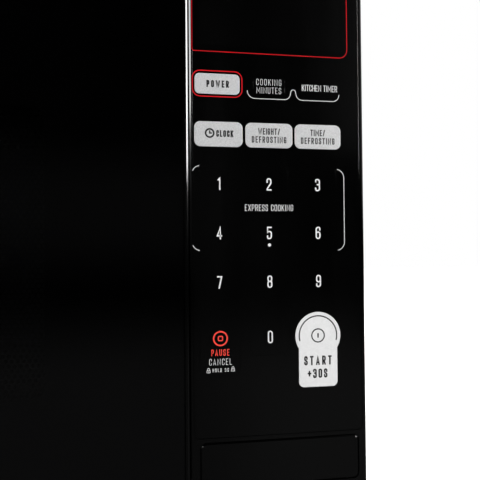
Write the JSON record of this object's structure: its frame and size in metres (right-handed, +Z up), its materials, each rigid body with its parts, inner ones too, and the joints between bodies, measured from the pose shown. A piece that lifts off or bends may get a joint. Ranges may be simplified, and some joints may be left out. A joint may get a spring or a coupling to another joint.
{
  "type": "microwave oven",
  "caption": "Countertop microwave oven with a side-hinged glass door, flat keypad, push-button door release and rotating glass tray.",
  "frame": {"origin": "middle of the footprint, at the level the feet stand on", "axes": "+X to the right seen from the front, +Y from the front to the back, +Z up"},
  "size_m": [0.485, 0.4, 0.285],
  "materials": {
    "cover_paint": "fine textured black paint",
    "zinc_sheet": "zinc-plated sheet",
    "cavity_paint": "grey enamel paint",
    "foot_rubber": "matt",
    "door_plastic": "high-gloss black",
    "door_glass": "tinted, polished",
    "screen_steel": "satin black perforated steel",
    "inner_plastic": "satin black",
    "overlay_film": "glossy black film",
    "key_black": "glossy black film",
    "key_silver": "silver print under clear film",
    "key_white": "white print under clear film",
    "lens_acrylic": "smoked acrylic",
    "switch_plastic": "natural nylon",
    "board_green": "solder-masked board",
    "display_plastic": "black display housing",
    "lever_plastic": "white acetal",
    "spring_steel": "bright wire",
    "core_steel": "laminated steel",
    "coil_copper": "varnished copper wire",
    "can_aluminium": "drawn can",
    "yoke_steel": "plated steel",
    "fin_aluminium": "thin fins",
    "fan_plastic": "moulded",
    "mica": "pressed mica sheet",
    "lamp_glass": "clear bulb",
    "tray_glass": "moulded clear glass",
    "roller_plastic": "heat-resistant plastic",
    "motor_steel": "plated can",
    "gland_rubber": "moulded",
    "screw_steel": "black zinc"
  },
  "bodies": {
    "oven": {"outer_cover": "cover_paint", "base_plate": "zinc_sheet", "rear_panel": "cover_paint", "front_plate": "cavity_paint", "oven_cavity": "cavity_paint", "feet": "foot_rubber", "cover_screws": "screw_steel", "cord_gland": "gland_rubber", "waveguide": "zinc_sheet", "waveguide_cover": "mica", "magnetron_yoke": "yoke_steel", "magnetron_core": "fin_aluminium", "transformer_core": "core_steel", "transformer_coils": "coil_copper", "hv_capacitor": "can_aluminium", "fan_shroud": "fan_plastic", "fan_motor": "core_steel", "oven_lamp": "lamp_glass", "turntable_motor": "motor_steel", "hinge_brackets": "zinc_sheet", "latch_board": "lever_plastic", "interlock_switches": "switch_plastic", "button_spring": "spring_steel", "keypad_overlay": "overlay_film", "display_window": "lens_acrylic", "control_panel": "door_plastic", "control_board": "board_green", "display_module": "display_plastic"},
    "door": {"door_frame": "door_plastic", "door_glass": "door_glass", "door_screen": "screen_steel", "choke_cover": "inner_plastic"},
    "door_hooks": {"door_hooks": "lever_plastic"},
    "release_button": {"release_button": "door_plastic"},
    "release_lever": {"release_lever": "lever_plastic"},
    "drive_coupler": {"drive_coupler": "roller_plastic"},
    "glass_tray": {"glass_tray": "tray_glass"},
    "roller_ring": {"roller_ring": "roller_plastic"},
    "roller_1": {"roller_1": "roller_plastic"},
    "roller_2": {"roller_2": "roller_plastic"},
    "roller_3": {"roller_3": "roller_plastic"},
    "fan_blade": {"fan_blade": "fan_plastic"},
    "key_power": {"key_power": "key_silver"},
    "key_cook_time": {"key_cook_time": "key_black"},
    "key_timer": {"key_timer": "key_black"},
    "key_clock": {"key_clock": "key_silver"},
    "key_weight_defrost": {"key_weight_defrost": "key_silver"},
    "key_time_defrost": {"key_time_defrost": "key_silver"},
    "key_stop": {"key_stop": "key_black"},
    "key_0": {"key_0": "key_black"},
    "key_1": {"key_1": "key_black"},
    "key_2": {"key_2": "key_black"},
    "key_3": {"key_3": "key_black"},
    "key_4": {"key_4": "key_black"},
    "key_5": {"key_5": "key_black"},
    "key_6": {"key_6": "key_black"},
    "key_7": {"key_7": "key_black"},
    "key_8": {"key_8": "key_black"},
    "key_9": {"key_9": "key_black"},
    "key_start": {"key_start": "key_white"}
  },
  "joints": [
    {"name": "door_hinge", "type": "hinge", "parent": "oven", "child": "door", "pos_m": [-0.2345, -0.182, 0.1465], "axis": [0, 0, -1], "range_deg": [0, 105]},
    {"name": "release_button_press", "type": "slide", "parent": "oven", "child": "release_button", "axis": [0, 1, 0], "range_m": [0, 0.005], "stiffness_N_per_m": 1200, "deforming": ["button_spring"]},
    {"name": "release_lever_turn", "type": "hinge", "parent": "oven", "child": "release_lever", "pos_m": [0.14, -0.16, 0.058], "axis": [1, 0, 0], "range_deg": [0, 9.6]},
    {"name": "door_hooks_lift", "type": "slide", "parent": "door", "child": "door_hooks", "axis": [0, 0, 1], "range_m": [0, 0.0026]},
    {"name": "turntable_spin", "type": "hinge", "parent": "oven", "child": "drive_coupler", "pos_m": [-0.052, 0, 0.04], "axis": [0, 0, 1], "continuous": true},
    {"name": "glass_tray_lift", "type": "slide", "parent": "drive_coupler", "child": "glass_tray", "axis": [0, 0, 1], "range_m": [0, 0.02]},
    {"name": "roller_ring_spin", "type": "hinge", "parent": "oven", "child": "roller_ring", "pos_m": [-0.052, 0, 0.039], "axis": [0, 0, 1], "continuous": true},
    {"name": "fan_spin", "type": "hinge", "parent": "oven", "child": "fan_blade", "pos_m": [0.181, 0.174, 0.15], "axis": [0, 1, 0], "continuous": true},
    {"name": "roller_1_spin", "type": "hinge", "parent": "roller_ring", "child": "roller_1", "pos_m": [0.048, 0, 0.039], "axis": [1, 0, 0], "continuous": true},
    {"name": "roller_2_spin", "type": "hinge", "parent": "roller_ring", "child": "roller_2", "pos_m": [-0.102, 0.0866, 0.039], "axis": [-0.5, 0.866, 0], "continuous": true},
    {"name": "roller_3_spin", "type": "hinge", "parent": "roller_ring", "child": "roller_3", "pos_m": [-0.102, -0.0866, 0.039], "axis": [-0.5, -0.866, 0], "continuous": true},
    {"name": "key_power_press", "type": "slide", "parent": "oven", "child": "key_power", "axis": [0, 1, 0], "range_m": [0, 0.0004], "stiffness_N_per_m": 1500},
    {"name": "key_cook_time_press", "type": "slide", "parent": "oven", "child": "key_cook_time", "axis": [0, 1, 0], "range_m": [0, 0.0004], "stiffness_N_per_m": 1500},
    {"name": "key_timer_press", "type": "slide", "parent": "oven", "child": "key_timer", "axis": [0, 1, 0], "range_m": [0, 0.0004], "stiffness_N_per_m": 1500},
    {"name": "key_clock_press", "type": "slide", "parent": "oven", "child": "key_clock", "axis": [0, 1, 0], "range_m": [0, 0.0004], "stiffness_N_per_m": 1500},
    {"name": "key_weight_defrost_press", "type": "slide", "parent": "oven", "child": "key_weight_defrost", "axis": [0, 1, 0], "range_m": [0, 0.0004], "stiffness_N_per_m": 1500},
    {"name": "key_time_defrost_press", "type": "slide", "parent": "oven", "child": "key_time_defrost", "axis": [0, 1, 0], "range_m": [0, 0.0004], "stiffness_N_per_m": 1500},
    {"name": "key_stop_press", "type": "slide", "parent": "oven", "child": "key_stop", "axis": [0, 1, 0], "range_m": [0, 0.0004], "stiffness_N_per_m": 1500},
    {"name": "key_0_press", "type": "slide", "parent": "oven", "child": "key_0", "axis": [0, 1, 0], "range_m": [0, 0.0004], "stiffness_N_per_m": 1500},
    {"name": "key_1_press", "type": "slide", "parent": "oven", "child": "key_1", "axis": [0, 1, 0], "range_m": [0, 0.0004], "stiffness_N_per_m": 1500},
    {"name": "key_2_press", "type": "slide", "parent": "oven", "child": "key_2", "axis": [0, 1, 0], "range_m": [0, 0.0004], "stiffness_N_per_m": 1500},
    {"name": "key_3_press", "type": "slide", "parent": "oven", "child": "key_3", "axis": [0, 1, 0], "range_m": [0, 0.0004], "stiffness_N_per_m": 1500},
    {"name": "key_4_press", "type": "slide", "parent": "oven", "child": "key_4", "axis": [0, 1, 0], "range_m": [0, 0.0004], "stiffness_N_per_m": 1500},
    {"name": "key_5_press", "type": "slide", "parent": "oven", "child": "key_5", "axis": [0, 1, 0], "range_m": [0, 0.0004], "stiffness_N_per_m": 1500},
    {"name": "key_6_press", "type": "slide", "parent": "oven", "child": "key_6", "axis": [0, 1, 0], "range_m": [0, 0.0004], "stiffness_N_per_m": 1500},
    {"name": "key_7_press", "type": "slide", "parent": "oven", "child": "key_7", "axis": [0, 1, 0], "range_m": [0, 0.0004], "stiffness_N_per_m": 1500},
    {"name": "key_8_press", "type": "slide", "parent": "oven", "child": "key_8", "axis": [0, 1, 0], "range_m": [0, 0.0004], "stiffness_N_per_m": 1500},
    {"name": "key_9_press", "type": "slide", "parent": "oven", "child": "key_9", "axis": [0, 1, 0], "range_m": [0, 0.0004], "stiffness_N_per_m": 1500},
    {"name": "key_start_press", "type": "slide", "parent": "oven", "child": "key_start", "axis": [0, 1, 0], "range_m": [0, 0.0004], "stiffness_N_per_m": 1500}
  ],
  "couplings": [
    {"joint": "release_lever_turn", "follows": "release_button_press", "rad_per_m": 33.333},
    {"joint": "door_hooks_lift", "follows": "release_button_press", "ratio": 0.5},
    {"joint": "roller_ring_spin", "follows": "turntable_spin", "ratio": 0.5},
    {"joint": "roller_1_spin", "follows": "turntable_spin", "ratio": -7.4627},
    {"joint": "roller_2_spin", "follows": "turntable_spin", "ratio": -7.4627},
    {"joint": "roller_3_spin", "follows": "turntable_spin", "ratio": -7.4627}
  ]
}
